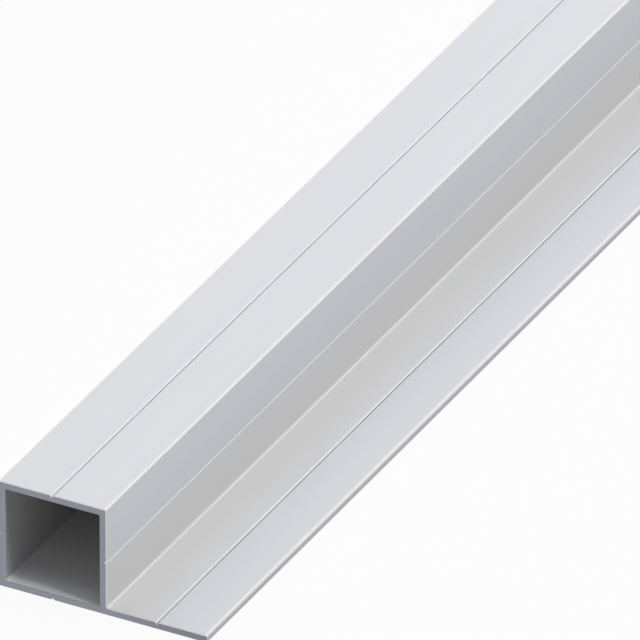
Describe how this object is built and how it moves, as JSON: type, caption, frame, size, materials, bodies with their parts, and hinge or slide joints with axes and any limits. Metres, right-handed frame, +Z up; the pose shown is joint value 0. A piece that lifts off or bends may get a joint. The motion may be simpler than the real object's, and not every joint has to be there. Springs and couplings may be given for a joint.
{
  "type": "flanged square tube",
  "caption": "Straight length of square aluminium framing tube with a thin flange along one lower edge and V-shaped drill lines down its faces.",
  "frame": {"origin": "middle of the underside that the tube and its flange share, halfway along the length", "axes": "+Y along the length, +X from the tube towards the flange's tip, +Z up from the underside"},
  "size_m": [0.0492, 0.6096, 0.0254],
  "materials": {
    "anodised_aluminium": "clear satin anodised, with fine lines along the extrusion and plain cut ends"
  },
  "bodies": {
    "root": {"flanged_tube": "anodised_aluminium"}
  },
  "joints": []
}
